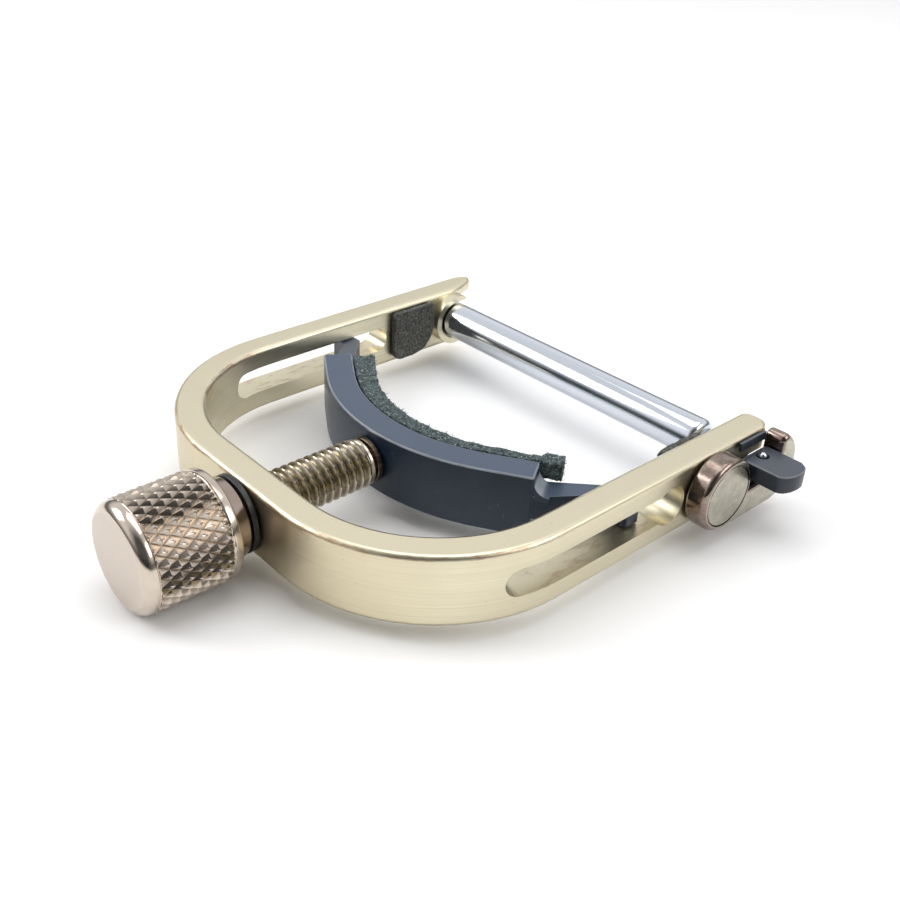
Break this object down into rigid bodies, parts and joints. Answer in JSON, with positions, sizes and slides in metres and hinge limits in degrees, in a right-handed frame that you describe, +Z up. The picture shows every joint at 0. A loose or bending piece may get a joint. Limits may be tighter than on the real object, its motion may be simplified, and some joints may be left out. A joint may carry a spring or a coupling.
{
  "type": "guitar capo",
  "caption": "Screw capo: slotted yoke, swinging string bar with cam latch, felted saddle driven along the arms by a knurled thumb screw.",
  "frame": {"origin": "middle of the bounding box's underside, with the yoke lying flat and the string bar shut", "axes": "+X along the string bar towards the latch, +Y from the thumb screw towards the string bar, +Z up across the strip's width"},
  "size_m": [0.0676, 0.0772, 0.0135],
  "materials": {
    "champagne_metal": "satin champagne plating, brushed along the strip",
    "antique_nickel": "polished antique nickel plating",
    "knob_metal": "knurled antique nickel plating",
    "screw_metal": "bright antique plating with a bronze tint",
    "polished_steel": "mirror polished steel",
    "black_metal": "satin black",
    "black_lever": "satin black",
    "felt_grey": "dark grey-green felt",
    "pad_grey": "dark grey lining",
    "washer_bronze": "bronze"
  },
  "bodies": {
    "frame": {"yoke": "champagne_metal", "left_arm_pad": "pad_grey", "right_arm_pad": "pad_grey", "latch_block": "antique_nickel", "block_rivet": "antique_nickel", "bar_hinge_pin": "polished_steel", "leaf_spring": "black_lever", "near_trunnion": "polished_steel", "far_trunnion": "polished_steel"},
    "bar": {"string_bar": "polished_steel", "bar_tang": "polished_steel"},
    "lever": {"cam_lever": "black_lever", "detent_spring": "polished_steel"},
    "ball": {"detent_ball": "polished_steel"},
    "saddle": {"saddle": "black_metal", "saddle_felt": "felt_grey", "thrust_washer": "washer_bronze"},
    "screw": {"screw_shaft": "screw_metal", "thumb_knob": "knob_metal", "knob_washer": "black_metal", "swivel_clip": "polished_steel"}
  },
  "joints": [
    {"name": "bar_swing", "type": "hinge", "parent": "frame", "child": "bar", "pos_m": [0.02385, 0.03245, 0.00675], "axis": [0, 0, -1], "range_deg": [0, 85]},
    {"name": "lever_flip", "type": "hinge", "parent": "frame", "child": "lever", "pos_m": [0.02765, 0.03165, 0.00795], "axis": [0, -1, 0], "range_deg": [0, 50]},
    {"name": "ball_click", "type": "slide", "parent": "lever", "child": "ball", "axis": [0, 0, -1], "range_m": [0, 0.0003], "deforming": ["detent_spring"]},
    {"name": "saddle_travel", "type": "slide", "parent": "frame", "child": "saddle", "axis": [0, 1, 0], "range_m": [-0.014, 0]},
    {"name": "screw_turn", "type": "hinge", "parent": "saddle", "child": "screw", "pos_m": [-0.00375, -0.02335, 0.00675], "axis": [0, 1, 0], "range_deg": [-4502, 0]}
  ],
  "couplings": [
    {"joint": "screw_turn", "follows": "saddle_travel", "rad_per_m": 5610}
  ]
}
